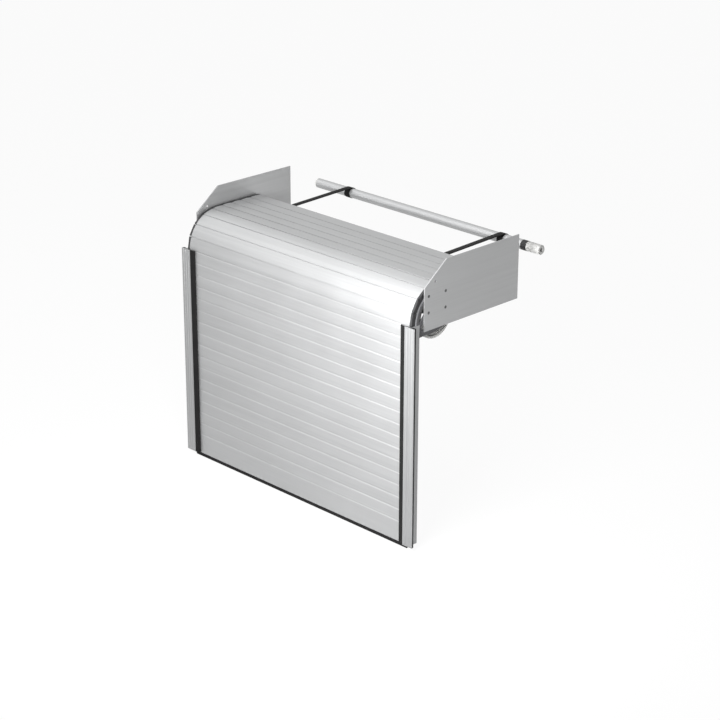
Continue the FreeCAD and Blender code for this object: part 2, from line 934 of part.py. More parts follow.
def bend_track(name, side):
    body = new_body(f"bend_track_{name}")
    web = new_sketch(body, "YZ_Plane", side * wall_inner)
    lug_bottom = rail_height - size.lug_height
    outline = [
        (size.rail_back, lug_bottom),
        (size.rail_back, rail_height),
        *running_surface,
        (track_end, track_top - size.arm_depth),
        (level_start, track_top - size.arm_depth),
        (level_start, bend_height + size.web_rear_rise),
        (bend_centre + size.web_edge_behind, plate_bottom, -size.web_edge_radius),
        (size.rail_back + size.web_edge_setback, bend_height - size.web_edge_drop),
    ]
    draw(web, outline)
    # one window above a slanting strut, one beside the lug
    window_outer = track_radius - size.window_rim
    low_corner = bend_polar(size.window_low, window_outer)
    draw(web, [(*low_corner, -window_outer), bend_polar(size.window_high, window_outer)])
    lug_side = bend_centre - size.rail_back - size.lug_thickness
    draw(web, bend_window(-size.window_foot, -size.window_low, size.window_inner, lug_side))
    for rear, up in plate_screws:
        draw_circle(web, rear, up, screw_hole)
    pad(body, web, plate_inner - wall_inner, reverse=side < 0)
    # the running surface, round the bend and then flat
    inner_radius = track_radius - size.track_depth
    rib = new_sketch(body, "YZ_Plane", side * wall_inner)
    outline = [
        *running_surface,
        (track_end, track_top - size.track_depth),
        (level_start, track_top - size.track_depth),
        (bend_centre, bend_height + inner_radius, inner_radius),
        (bend_centre - on_circle(inner_radius, size.rail_rise), rail_height),
    ]
    draw(rib, outline)
    pad(body, rib, size.track_width, reverse=side > 0)
    # boss for the wheel's axle
    boss = new_sketch(body, "YZ_Plane", side * wall_inner)
    draw_circle(boss, bend_centre, bend_height, size.boss_radius)
    pad(body, boss, size.boss_length, reverse=side > 0)
    # lug against the back of the rail
    lug = new_sketch(body, "YZ_Plane", side * wall_inner)
    draw(lug, block(size.rail_back, size.rail_back + size.lug_thickness, lug_bottom, rail_height))
    pad(body, lug, size.lug_width, reverse=side > 0)
    bore = new_sketch(body, "YZ_Plane", side * wall_inner)
    draw_circle(bore, bend_centre, bend_height, size.axle_radius)
    pocket(body, bore, size.boss_length, reverse=side < 0)
    behind = new_sketch(body, "XZ_Plane", -(size.rail_back + size.lug_thickness / 2))
    draw_circle(behind, side * lug_screw_across, lug_screw_up, screw_hole)
    pocket(body, behind, 2 * size.lug_thickness, side_type="Symmetric")
    return keep(body)


for name, side in SIDES.items():
    side_plate(name, side)
    bend_track(name, side)

# Screws with plain shanks, along X with the head outwards


def pan_screw(name, shank):
    body = new_body(name)
    head = size.screw_head_height
    revolve(
        body,
        [
            (-shank, 0.0),
            (head, 0.0),
            (head, size.screw_head_radius - head / 2),
            (0.0, size.screw_head_radius),
            (0.0, size.screw_radius),
            (-shank, size.screw_radius),
        ],
    )
    return body


def flush_screw(name, length):
    """A countersunk screw whose head lies a little under the face it is driven into."""
    body = new_body(name)
    top = -size.screw_flush
    sunk = top - (size.screw_head_radius - size.screw_radius)
    revolve(
        body,
        [
            (-length, 0.0),
            (top, 0.0),
            (top, size.screw_head_radius),
            (sunk, size.screw_radius),
            (-length, size.screw_radius),
        ],
    )
    return body


plate_screw = flush_screw("plate_screw", plate_outer - wall_inner)
lug_screw = pan_screw("lug_screw", size.rail_back + size.lug_thickness - channel_back)
placed = []
for rear, up in plate_screws:
    placed.append((plate_screw, (plate_outer, rear, up)))
    placed.append((plate_screw, (-plate_outer, rear, up, (0, 0, 1), HALF_TURN)))
group("plate_screws", placed)
lug_rear = size.rail_back + size.lug_thickness
placed = []
for side in SIDES.values():
    placed.append((lug_screw, (side * lug_screw_across, lug_rear, lug_screw_up, (0, 0, 1), 90.0)))
group("lug_screws", placed)

# Guide wheels on their axles, about the bend's centre

hub_outer = wall_inner - size.boss_length - size.wheel_gap
wheel_outer = hub_outer - size.wheel_hub_end
wheel_inner = wheel_outer - size.wheel_width
hub_inner = wheel_inner - size.wheel_hub_end
web_middle = (wheel_outer + wheel_inner) / 2


def about_bend(body, side):
    """Stand a turned piece on the bend's axis, on the right or turned round to the left."""
    place(body, 0.0, bend_centre, bend_height, (0, 0, 1), as_size(0.0 if side > 0 else HALF_TURN))


def guide_wheel(name, side):
    body = new_body(f"guide_wheel_{name}")
    bore = size.axle_radius + size.axle_clearance
    hub = size.wheel_hub_radius
    rim = size.wheel_radius - size.wheel_rim
    web = size.wheel_web / 2
    outline = [
        (hub_inner, bore),
        (hub_outer, bore),
        (hub_outer, hub),
        (web_middle + web, hub),
        (web_middle + web, rim),
        (wheel_outer, rim),
        (wheel_outer, size.wheel_radius),
        (wheel_inner, size.wheel_radius),
        (wheel_inner, rim),
        (web_middle - web, rim),
        (web_middle - web, hub),
        (hub_inner, hub),
    ]
    revolve(body, outline)
    opening = new_sketch(body, "YZ_Plane", web_middle)
    inner, outer = size.wheel_window_inner, size.wheel_window_outer
    half = size.wheel_window_angle
    corners = [
        (inner * cosine(half), -inner * sine(half)),
        (outer * cosine(half), -outer * sine(half), outer),
        (outer * cosine(half), outer * sine(half)),
        (inner * cosine(half), inner * sine(half), -inner),
    ]
    draw(opening, corners)
    cut = pocket(body, opening, 2 * size.wheel_web, side_type="Symmetric")
    doc.recompute()
    pattern = body.newObject("PartDesign::PolarPattern", f"{body.Name}_spokes")
    pattern.Originals = [cut]
    pattern.Axis = (origin_feature(body, "X_Axis"), [""])
    pattern.Angle = 360.0
    bind(pattern, "Occurrences", whole(size.wheel_spokes))
    body.Tip = pattern
    about_bend(body, side)
    return keep(body)


clip_inner = hub_inner - size.wheel_gap - size.clip_thickness
clip_seat = size.axle_radius - size.clip_groove
axle = new_body("axle")
axle_end = clip_inner - size.axle_tail
revolve(
    axle,
    [
        (axle_end, 0.0),
        (wall_inner, 0.0),
        (wall_inner, size.axle_radius),
        (clip_inner + size.clip_thickness, size.axle_radius),
        (clip_inner + size.clip_thickness, clip_seat),
        (clip_inner, clip_seat),
        (clip_inner, size.axle_radius),
        (axle_end, size.axle_radius),
    ],
)
clip = new_body("clip")
revolve(clip, block(clip_inner, clip_inner + size.clip_thickness, clip_seat, size.clip_radius))
for name, side in SIDES.items():
    guide_wheel(name, side)
on_the_right = (0.0, bend_centre, bend_height)
on_the_left = (0.0, bend_centre, bend_height, (0, 0, 1), HALF_TURN)
group("wheel_axles", [(axle, on_the_right), (axle, on_the_left)])
group("wheel_clips", [(clip, on_the_right), (clip, on_the_left)])

# Spring roller. Outlines are (distance to the right, radius).

roller_rear = bend_centre + size.roller_reach
roller_height = flat_height - size.roller_drop

def roller_piece(label, outline):
    body = new_body(label)
    revolve(body, outline)
    place(body, 0.0, roller_rear, roller_height)
    return keep(body)


tube_inner = size.tube_radius - size.tube_wall
collar_inner = tube_inner - size.collar_wall
collar_right = size.tube_right + size.collar_width
collar_outer = size.tube_radius + size.collar_proud
spindle_half = size.roller_half - size.pin_bore_depth
bearing_radius = size.bearing_radius
roller_piece("roller_tube", block(-size.tube_left, size.tube_right, tube_inner, size.tube_radius))
roller_piece(
    "roller_collar",
    [
        (size.tube_right - size.collar_spigot, collar_inner),
        (collar_right, collar_inner),
        (collar_right, collar_outer),
        (size.tube_right, collar_outer),
        (size.tube_right, tube_inner),
        (size.tube_right - size.collar_spigot, tube_inner),
    ],
)
right_shoulder = collar_right + size.bearing_gap
right_journal = collar_inner - size.bearing_clearance
roller_piece(
    "end_bearing_right",
    [
        (right_shoulder, bearing_radius),
        (size.roller_half - size.bearing_chamfer, bearing_radius),
        (size.roller_half, bearing_radius - size.bearing_chamfer),
        (size.roller_half, size.pin_bore_radius),
        (spindle_half, size.pin_bore_radius),
        (spindle_half, size.spindle_radius),
        (right_shoulder - size.journal_length, size.spindle_radius),
        (right_shoulder - size.journal_length, right_journal),
        (right_shoulder, right_journal),
    ],
)
left_shoulder = -size.tube_left - size.bearing_gap
left_journal = tube_inner - size.bearing_clearance
roller_piece(
    "end_bearing_left",
    [
        (left_shoulder, bearing_radius),
        (left_shoulder, left_journal),
        (left_shoulder + size.journal_length, left_journal),
        (left_shoulder + size.journal_length, size.spindle_radius),
        (-spindle_half, size.spindle_radius),
        (-spindle_half, size.pin_bore_radius),
        (-size.roller_half, size.pin_bore_radius),
        (-size.roller_half, bearing_radius - size.bearing_nose),
        (size.bearing_chamfer - size.roller_half, bearing_radius - size.bearing_chamfer),
        (size.bearing_nose - size.roller_half, bearing_radius),
    ],
)
roller_piece("roller_spindle", block(-spindle_half, spindle_half, 0.0, size.spindle_radius))
spring_inner = size.spring_radius - size.spring_wire
roller_piece("torsion_spring", block(-size.spring_left, size.spring_right, spring_inner, size.spring_radius))
anchor_end = size.spring_right + size.anchor_width
roller_piece(
    "spring_anchor_fixed", block(size.spring_right, anchor_end, size.spindle_radius, size.spring_radius)
)
anchor_end = -size.spring_left - size.anchor_width
anchor_inner = size.spindle_radius + size.bearing_clearance
roller_piece("spring_anchor_turning", block(anchor_end, -size.spring_left, anchor_inner, tube_inner))

# Pull straps: a winding on the tube, and the free run from the rear slat's groove to the top of the winding

half_strap = size.strap_thickness / 2
seat_radius = size.tube_radius + size.strap_seat + half_strap
turn_pitch = size.strap_thickness + size.strap_gap
WINDING_ARCS = 8
winding_angle = size.wrap_ahead + size.wrap_behind


def winding_point(share, aside):
    """A point beside the winding's middle line, from its outer end in front to its inner end."""
    angle = share * winding_angle - size.wrap_ahead
    radius = seat_radius + turn_pitch * (1.0 - share) * winding_angle / 360.0 + aside
    return radius * sine(angle), radius * cosine(angle), radius


def strap_winding():
    body = new_body("strap_winding")
    shares = [number / WINDING_ARCS for number in range(WINDING_ARCS + 1)]
    outward = [winding_point(share, half_strap) for share in shares]
    inward = [winding_point(share, -half_strap) for share in reversed(shares)]
    outline = []
    for points, turn in ((outward, -1), (inward, 1)):
        for here, there in zip(points, points[1:]):
            outline.append((here[0], here[1], turn * (here[2] + there[2]) / 2))
        outline.append(points[-1][:2])
    sketch = new_sketch(body, "YZ_Plane")
    draw(sketch, outline)
    pad(body, sketch, size.strap_width, side_type="Symmetric")
    return body


groove_rear = joint_point(last_joint)[0] + size.rear_slat_length - size.groove_setback
groove_drop = flat_height - roller_height
groove_run = roller_rear - groove_rear
groove_reach = root(groove_run * groove_run + groove_drop * groove_drop)
top_radius = seat_radius + turn_pitch * size.wrap_behind / 360.0
run_radius = top_radius + size.strap_thickness + size.strap_seat
run_slope = arc_sine(run_radius / groove_reach) - arc_sine(groove_drop / groove_reach)
run_length = root(groove_reach * groove_reach - run_radius * run_radius)


def strap_run():
    body = new_body("strap_run")
    bead = size.strap_bead
    neck = on_circle(bead, half_strap)
    outline = [
        (neck, -half_strap),
        (run_length, -half_strap),
        (run_length, half_strap),
        (neck, half_strap, bead),
        (0.0, bead, bead),
        (-bead, 0.0, bead),
        (0.0, -bead, bead),
    ]
    sketch = new_sketch(body, "YZ_Plane")
    draw(sketch, outline)
    pad(body, sketch, size.strap_width, side_type="Symmetric")
    return body


winding = strap_winding()
run = strap_run()
offsets = [-size.strap_offset, size.strap_offset]
group("strap_windings", [(winding, (across, roller_rear, roller_height)) for across in offsets])
run_place = (groove_rear, flat_height, (1, 0, 0), run_slope)
group("strap_runs", [(run, (across, *run_place)) for across in offsets])

# Build, check and write


def least_winding_gap():
    """The least gap between the winding's first turn and the turn over it, measured on points."""
    shares = [number / 400 for number in range(401)]
    inner = [winding_point(share, half_strap) for share in shares]
    outer = [winding_point(share, -half_strap) for share in shares]
    gaps = []
    for under, over in ((a, b) for a in range(401) for b in range(401)):
        turned = (under - over) / 400 * winding_angle.value
        if turned > 300.0:
            across = inner[under][0].value - outer[over][0].value
            up = inner[under][1].value - outer[over][1].value
            gaps.append(math.hypot(across, up))
    return min(gaps)


doc.recompute()
failed = [thing.Label for thing in doc.Objects if "Invalid" in thing.State or "Error" in thing.State]
for thing in nodes:
    if thing.Shape.isNull() or not thing.Shape.isValid():
        failed.append(thing.Label)
if failed:
    raise RuntimeError(f"these pieces failed: {sorted(set(failed))}")

os.makedirs("parts", exist_ok=True)
for thing in nodes:
    thing.Shape.exportStep(f"parts/{thing.Label}.step")
print(f"{len(nodes)} pieces, least gap between strap turns {least_winding_gap():.2f} mm")
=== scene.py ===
import math

import bmesh
import bpy
from bpy.props import FloatProperty, FloatVectorProperty, IntProperty, PointerProperty
from mathutils import Euler, Matrix, Vector


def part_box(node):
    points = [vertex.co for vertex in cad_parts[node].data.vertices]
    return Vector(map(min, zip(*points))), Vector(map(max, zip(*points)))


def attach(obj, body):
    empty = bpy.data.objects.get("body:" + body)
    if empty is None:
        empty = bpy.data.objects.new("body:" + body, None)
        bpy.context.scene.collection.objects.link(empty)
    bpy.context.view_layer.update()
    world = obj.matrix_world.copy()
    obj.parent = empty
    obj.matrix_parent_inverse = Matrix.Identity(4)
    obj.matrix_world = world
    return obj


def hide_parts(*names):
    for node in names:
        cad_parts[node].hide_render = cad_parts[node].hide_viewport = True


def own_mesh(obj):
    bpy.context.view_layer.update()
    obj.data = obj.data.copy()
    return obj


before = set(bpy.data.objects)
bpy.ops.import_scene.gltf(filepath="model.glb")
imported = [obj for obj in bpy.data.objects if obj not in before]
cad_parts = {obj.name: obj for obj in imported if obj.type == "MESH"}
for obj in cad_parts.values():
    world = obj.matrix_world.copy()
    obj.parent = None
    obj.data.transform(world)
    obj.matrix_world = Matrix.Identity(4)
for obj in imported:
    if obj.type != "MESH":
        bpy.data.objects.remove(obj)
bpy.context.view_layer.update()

bl_info = {
    "name": "Roller shutter",
    "version": (1, 0, 0),
    "blender": (4, 5, 0),
    "location": "View3D > Sidebar > Shutter",
    "description": "Finishes, straps, screws, spring and stage of a slatted roller shutter",
    "category": "Object",
}

# The frame's axes: X runs across the shutter, Y to its rear and Z up.
ACROSS, REARWARD, UPWARD = range(3)
# Points of a mesh that are this near to each other are one point.
MERGE_DISTANCE = 1e-6


# Settings


def colour(name, description, default):
    return FloatVectorProperty(
        name=name, description=description, subtype="COLOR", size=3, min=0.0, max=1.0,
        default=default,
    )


def length(name, description, default):
    return FloatProperty(
        name=name, description=description, default=default, unit="LENGTH", precision=5
    )


def angle(name, description, degrees):
    default = math.radians(degrees)
    return FloatProperty(name=name, description=description, default=default, subtype="ANGLE")


def power(name, description, watts):
    return FloatProperty(name=name, description=description, default=watts, unit="POWER")


def share(name, description, default, top=1.0):
    return FloatProperty(name=name, description=description, default=default, min=0.0, max=top)


class ShutterFinish(bpy.types.PropertyGroup):
    slat: colour("Slats", "Satin anodised aluminium of the curtain", (0.385, 0.388, 0.391))
    rail: colour("Rails", "Extruded aluminium of the guide rails", (0.33, 0.333, 0.336))
    plate: colour("Plates", "Bare sheet of the side plates", (0.385, 0.388, 0.391))
    tube: colour("Tube", "Drawn aluminium of the roller", (0.43, 0.433, 0.436))
    steel: colour("Steel", "Zinc on spindle, axles, clips and track screws", (0.36, 0.36, 0.355))
    dark_steel: colour("Dark steel", "Blackened screws of the side plates", (0.13, 0.13, 0.13))
    spring: colour("Spring", "Oiled spring wire", (0.12, 0.12, 0.125))
    rubber: colour("Rubber", "Lips, gaskets and the bottom seal", (0.007, 0.007, 0.007))
    shoe: colour("Shoes", "Black running shoes and collar", (0.016, 0.016, 0.017))
    track: colour("Tracks", "Dark moulding of the bend tracks", (0.045, 0.045, 0.048))
    white: colour("White plastic", "Guide wheels, end bearings and anchors", (0.5, 0.5, 0.49))
    strap: colour("Straps", "Woven black webbing", (0.006, 0.006, 0.006))
    grain: length("Grain", "Spacing of the brush lines", 0.0012)
    grain_length: length("Grain length", "How long one brush line runs", 0.12)
    streak: share("Streak", "Size of a brush line over that of a broad streak", 0.16)


class ShutterBend(bpy.types.PropertyGroup):
    rear: length("Rear", "Distance of the bend's axis behind the curtain's face", 0.1028)
    up: length("Up", "Height of the bend's axis over the sill", 0.6195)
    evenness: share("Evenness", "How far the rolled faces follow the bend", 0.75)


class ShutterJoints(bpy.types.PropertyGroup):
    first: length("First", "Height of the lowest joint over the sill", 0.058)
    pitch: length("Pitch", "Height from joint to joint", 0.035)
    reach: length("Reach", "How far the rounded edges reach from a joint", 0.0028)
    # Last and Glint set a painted highlight: below the height Last, the slats' colour is made
    # lighter along the rounded edges at their joints, where light from above catches them. It
    # stands for that light, not for rubbing.
    last: length("Last", "Height over which the joints open and lose their glint", 0.625)
    glint: share("Glint", "How much brighter the rounded edges are rubbed", 0.22)


class ShutterStraps(bpy.types.PropertyGroup):
    thread: length("Thread", "Spacing of the threads across the webbing", 0.0016)
    thickness: length("Thickness", "Thickness of the webbing", 0.001)
    edge: length("Edge", "Rounding of the selvedge", 0.00035)
    bead: length("Bead", "Radius of the sewn bead in the rear slat's groove", 0.0016)
    pitch: length("Pitch", "Distance from turn to turn of the winding", 0.00145)
    seat: length("Seat", "Middle of the innermost turn over the tube", 0.00055)
    ahead: angle("Ahead", "Start of the winding in front of its top", 125.0)
    behind: angle("Behind", "End of the winding past its top", 270.0)
    travel: length("Travel", "How much of the free run is drawn in", 0.035)
    steps: IntProperty(
        name="Steps", description="Steps round one turn of the winding", default=48, min=12
    )


class ShutterScrews(bpy.types.PropertyGroup):
    shank: length("Shank", "Radius of the shanks", 0.002)
    head: length("Head", "Height of the round heads", 0.0024)
    recess_width: length("Recess width", "Width of one arm of the cross", 0.0009)
    recess_span: length("Recess span", "Length of one arm of the cross", 0.0046)
    recess_depth: length("Recess depth", "How deep the cross is", 0.0013)


class ShutterSpring(bpy.types.PropertyGroup):
    turns: IntProperty(
        name="Turns", description="Turns of the torsion spring", default=100, min=4
    )
    wire: length("Wire", "Radius of the spring wire", 0.0014)


class ShutterStage(bpy.types.PropertyGroup):
    azimuth: angle("Azimuth", "Camera direction in plan", 45.205)
    elevation: angle("Elevation", "Camera height over the horizon", 21.826)
    roll: angle("Roll", "Turn about the view line", -0.127)
    lens: FloatProperty(
        name="Lens", description="Focal length on a 36 mm sensor", default=103.0, unit="CAMERA"
    )
    eye: FloatVectorProperty(
        name="Eye", description="Place of the camera", size=3, subtype="TRANSLATION",
        unit="LENGTH", default=(3.814, -3.543, 2.490),
    )
    floor_drop: length("Floor drop", "Floor below the sill", 0.0135)
    ambient: share("Ambient", "Level of the even light", 0.12, top=4.0)
    glow: share("Glow", "Share of plain white in the floor as seen and reflected", 0.95)
    near: power("Near", "Lamp close in front on the right", 49.0)
    overhead: power("Overhead", "Lamp overhead", 36.0)
    side: power("Side", "Lamp on the left", 6.9)
    front: power("Front", "Lamp in front on the left", 4.1)


class ShutterSettings(bpy.types.PropertyGroup):
    finish: PointerProperty(type=ShutterFinish)
    bend: PointerProperty(type=ShutterBend)
    joints: PointerProperty(type=ShutterJoints)
    straps: PointerProperty(type=ShutterStraps)
    screws: PointerProperty(type=ShutterScrews)
    spring: PointerProperty(type=ShutterSpring)
    stage: PointerProperty(type=ShutterStage)


def settings():
    return bpy.context.scene.shutter_settings


# Node helpers


FLOAT, VECTOR = "NodeSocketFloat", "NodeSocketVector"
WHITE = (1.0, 1.0, 1.0, 1.0)


def feed(tree, node, inputs):
    """Link a node's inputs to the sockets, or set them to the values, given by name or number."""
    for name, value in inputs.items():
        if isinstance(value, bpy.types.NodeSocket):
            tree.links.new(value, node.inputs[name])
        else:
            node.inputs[name].default_value = value


def add_node(tree, kind, inputs=None, **fields):
    """A new node with its fields set and its inputs fed."""
    node = tree.nodes.new(kind)
    for name, value in fields.items():
        setattr(node, name, value)
    feed(tree, node, inputs or {})
    return node


def math_node(tree, operation, *values):
    inputs = dict(enumerate(values))
    return add_node(tree, "ShaderNodeMath", inputs, operation=operation).outputs[0]


def vector_math(tree, operation, inputs):
    """The vector that an operation gives, or the number that a dot product gives."""
    node = add_node(tree, "ShaderNodeVectorMath", inputs, operation=operation)
    return node.outputs["Value" if operation == "DOT_PRODUCT" else "Vector"]


def map_range(tree, value, low, high, to_low=0.0, to_high=1.0):
    inputs = {
        "Value": value, "From Min": low, "From Max": high, "To Min": to_low, "To Max": to_high,
    }
    return add_node(tree, "ShaderNodeMapRange", inputs).outputs["Result"]


def noise(tree, position, scale, detail, roughness=0.5):
    inputs = {"Vector": position, "Scale": scale, "Detail": detail, "Roughness": roughness}
    return add_node(tree, "ShaderNodeTexNoise", inputs).outputs["Fac"]


def new_group(name, inputs, outputs):
    """A shader node group with named sockets: each is (name, kind, default)."""
    group = bpy.data.node_groups.new(name, "ShaderNodeTree")
    for in_out, sockets in (("INPUT", inputs), ("OUTPUT", outputs)):
        for label, kind, default in sockets:
            socket = group.interface.new_socket(label, in_out=in_out, socket_type=kind)
            if default is not None:
                socket.default_value = default
    return group, group.nodes.new("NodeGroupInput"), group.nodes.new("NodeGroupOutput")


def place_group(tree, group, inputs):
    return add_node(tree, "ShaderNodeGroup", inputs, node_tree=group)


# The parts of a noise's range that are spread from nothing to full.
LINE_SPREAD = (0.3, 0.7)
PATCH_SPREAD = (0.35, 0.65)
BLOOM_SPREAD = (0.4, 0.75)


def brushed_group():
    """Fine lines and broad streaks along one direction, as brushing or extruding leaves them."""
    if "Brush lines" in bpy.data.node_groups:
        return bpy.data.node_groups["Brush lines"]
    group, entry, leave = new_group(
        "Brush lines",
        [
            ("Position", VECTOR, None),
            ("Scale", VECTOR, (8.0, 800.0, 800.0)),
            ("Streak", FLOAT, 0.16),
            ("Depth", FLOAT, 0.00002),
            ("Strength", FLOAT, 0.4),
            ("Normal", VECTOR, None),
        ],
        [
            ("Lines", FLOAT, None),
            ("Streaks", FLOAT, None),
            ("Patches", FLOAT, None),
            ("Normal", VECTOR, None),
        ],
    )
    given = entry.outputs
    scaled = vector_math(group, "MULTIPLY", {0: given["Position"], 1: given["Scale"]})
    fine = noise(group, scaled, scale=1.0, detail=3.0, roughness=0.65)
    broad = noise(group, scaled, scale=given["Streak"], detail=2.0, roughness=0.6)
    patch = noise(group, given["Position"], scale=7.0, detail=2.0)
    bump = add_node(group, "ShaderNodeBump", {
        "Height": fine, "Distance": given["Depth"], "Strength": given["Strength"],
        "Normal": given["Normal"],
    })
    feed(group, leave, {
        "Lines": map_range(group, fine, *LINE_SPREAD),
        "Streaks": map_range(group, broad, *LINE_SPREAD),
        "Patches": map_range(group, patch, *PATCH_SPREAD),
        "Normal": bump.outputs["Normal"],
    })
    return group


# A face is evened out only where its normal lies this close to the sweep, as a dot product: from
# the first value on, and fully from the second.
EVENED_FROM, EVENED_FULLY = 0.985, 0.992
# The sweep never points rearwards, but at least this much ahead.
LEAST_AHEAD = 1e-4


def bend_group():
    """The normal of a slat's outer face, evened out towards one smooth sweep round the bend."""
    bend = settings().bend
    group, entry, leave = new_group(
        "Bend sweep",
        [
            ("Position", VECTOR, None),
            ("Normal", VECTOR, None),
            ("Evenness", FLOAT, bend.evenness),
        ],
        [("Normal", VECTOR, None)],
    )
    normal = entry.outputs["Normal"]
    place = add_node(group, "ShaderNodeSeparateXYZ", {0: entry.outputs["Position"]}).outputs
    ahead = math_node(group, "SUBTRACT", place["Y"], bend.rear)
    ahead = math_node(group, "MINIMUM", ahead, -LEAST_AHEAD)
    above = math_node(group, "SUBTRACT", place["Z"], bend.up)
    above = math_node(group, "MAXIMUM", above, 0.0)
    swept = add_node(group, "ShaderNodeCombineXYZ", {"Y": ahead, "Z": above}).outputs[0]
    swept = vector_math(group, "NORMALIZE", {0: swept})
    swept = add_node(
        group, "ShaderNodeVectorTransform", {0: swept},
        vector_type="NORMAL", convert_from="OBJECT", convert_to="WORLD",
    ).outputs[0]
    agreement = vector_math(group, "DOT_PRODUCT", {0: normal, 1: swept})
    evened = map_range(group, agreement, EVENED_FROM, EVENED_FULLY)
    evened = math_node(group, "MULTIPLY", evened, entry.outputs["Evenness"])
    mix = add_node(group, "ShaderNodeMix", {0: evened, 4: normal, 5: swept}, data_type="VECTOR")
    feed(group, leave, {"Normal": vector_math(group, "NORMALIZE", {0: mix.outputs[1]})})
    return group


def moulded_group():
    """The fine matt grain of moulded plastic and rubber, with a faint bloom of dust."""
    if "Moulded grain" in bpy.data.node_groups:
        return bpy.data.node_groups["Moulded grain"]
    group, entry, leave = new_group(
        "Moulded grain",
        [
            ("Position", VECTOR, None),
            ("Grain", FLOAT, 1400.0),
            ("Depth", FLOAT, 0.00003),
            ("Strength", FLOAT, 0.5),
        ],
        [("Bloom", FLOAT, None), ("Normal", VECTOR, None)],
    )
    given = entry.outputs
    fine = noise(group, given["Position"], scale=given["Grain"], detail=2.0)
    bloom = noise(group, given["Position"], scale=26.0, detail=4.0, roughness=0.6)
    bump = add_node(group, "ShaderNodeBump", {
        "Height": fine, "Distance": given["Depth"], "Strength": given["Strength"],
    })
    feed(group, leave, {
        "Bloom": map_range(group, bloom, *BLOOM_SPREAD), "Normal": bump.outputs["Normal"],
    })
    return group


def new_material(name):
    """A material, its node tree, its shader and the position on the piece."""
    material = bpy.data.materials.new(name)
    material.use_nodes = True
    tree = material.node_tree
    position = add_node(tree, "ShaderNodeTexCoord").outputs["Object"]
    return material, tree, tree.nodes["Principled BSDF"], position


def mix_shades(tree, factor, tone, dark, light):
    """A colour that runs from a darker to a lighter shade of one tone."""
    low = (*[channel * dark for channel in tone], 1.0)
    high = (*[min(1.0, channel * light) for channel in tone], 1.0)
    inputs = {0: factor, 6: low, 7: high}
    return add_node(tree, "ShaderNodeMix", inputs, data_type="RGBA").outputs[2]


# Materials


LINE_WEIGHT, STREAK_WEIGHT = 0.5, 0.5
LINE_ROUGHNESS = 0.08
BLOOM_ROUGHNESS = 0.12


def painted_joint_highlight(tree, position, tone):
    """Paint a highlight into the tone along the rounded edges at each joint of the hanging slats,
    where light catches them.
    """
    joints = settings().joints
    height = add_node(tree, "ShaderNodeSeparateXYZ", {0: position}).outputs["Z"]
    apart = math_node(tree, "SUBTRACT", height, joints.first)
    apart = math_node(tree, "PINGPONG", apart, joints.pitch / 2)
    edge = map_range(tree, apart, 0.0, joints.reach, joints.glint, 0.0)
    under_last = math_node(tree, "LESS_THAN", height, joints.last)
    edge = math_node(tree, "MULTIPLY", edge, under_last)
    over_first = math_node(tree, "GREATER_THAN", height, joints.first - joints.reach)
    edge = math_node(tree, "MULTIPLY", edge, over_first)
    gain = math_node(tree, "ADD", edge, 1.0)
    return vector_math(tree, "SCALE", {0: tone, "Scale": gain})


def metal_material(
    name, tone, axis, rough, metallic=1.0, contrast=0.06, patch=0.04, swept=False
):
    """Metal with brush lines along one axis. A swept one follows the bend, and has a painted
    highlight along its joints too.
    """
    finish = settings().finish
    material, tree, shader, position = new_material(name)
    scale = [1.0 / finish.grain] * 3
    scale[axis] = 1.0 / finish.grain_length
    face = add_node(tree, "ShaderNodeNewGeometry").outputs["Normal"]
    if swept:
        sweep = place_group(tree, bend_group(), {"Position": position, "Normal": face})
        face = sweep.outputs["Normal"]
    brushed = place_group(tree, brushed_group(), {
        "Position": position, "Scale": scale, "Streak": finish.streak, "Normal": face,
    }).outputs
    lines = math_node(tree, "MULTIPLY", brushed["Lines"], LINE_WEIGHT)
    lines = math_node(tree, "MULTIPLY_ADD", brushed["Streaks"], STREAK_WEIGHT, lines)
    shade = mix_shades(tree, lines, tone, 1.0 - contrast, 1.0 + contrast)
    # Swept slats get a painted highlight along their joints.
    if swept:
        shade = painted_joint_highlight(tree, position, shade)
    cloud = math_node(tree, "MULTIPLY_ADD", brushed["Patches"], patch, rough)
    feed(tree, shader, {
        "Base Color": shade,
        "Roughness": math_node(tree, "MULTIPLY_ADD", lines, LINE_ROUGHNESS, cloud),
        "Normal": brushed["Normal"],
        "Metallic": metallic,
    })
    return material


def moulded_material(name, tone, rough, grain=1400.0, bloom=0.35, gloss=0.5):
    """Plastic or rubber with a matt grain and a slightly paler bloom in patches."""
    material, tree, shader, position = new_material(name)
    skin = place_group(tree, moulded_group(), {"Position": position, "Grain": grain}).outputs
    feed(tree, shader, {
        "Base Color": mix_shades(tree, skin["Bloom"], tone, 1.0, 1.0 + bloom),
        "Roughness": map_range(tree, skin["Bloom"], 0.0, 1.0, rough, rough + BLOOM_ROUGHNESS),
        "Normal": skin["Normal"],
        "Specular IOR Level": gloss,
    })
    return material


def finish_nodes(names, material):
    for name in names:
        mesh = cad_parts[name].data
        mesh.materials.clear()
        mesh.materials.append(material)
        mesh.polygons.foreach_set("material_index", [0] * len(mesh.polygons))


def nodes_named(*starts):
    return [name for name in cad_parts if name.startswith(starts)]


# Operators that finish the CAD's own pieces


class SHUTTER_OT_curtain(bpy.types.Operator):
    """Give the slats and the bottom bar their satin aluminium, brushed along their length"""

    bl_idname = "shutter.curtain"
    bl_label = "Curtain"

    def execute(self, context):
        # The swept satin has a painted highlight along the slats' joints.
        satin = metal_material(
            "slat_aluminium", settings().finish.slat, ACROSS, rough=0.52, metallic=0.9, swept=True
        )
        finish_nodes(nodes_named("slat_", "bottom_bar"), satin)
        return {"FINISHED"}


class SHUTTER_OT_rails(bpy.types.Operator):
    """Give the guide rails their extruded aluminium, with lines that run up them"""

    bl_idname = "shutter.rails"
    bl_label = "Guide rails"

    def execute(self, context):
        drawn = metal_material(
            "rail_aluminium", settings().finish.rail, UPWARD, rough=0.46, metallic=0.9
        )
        finish_nodes(nodes_named("guide_rail"), drawn)
        return {"FINISHED"}


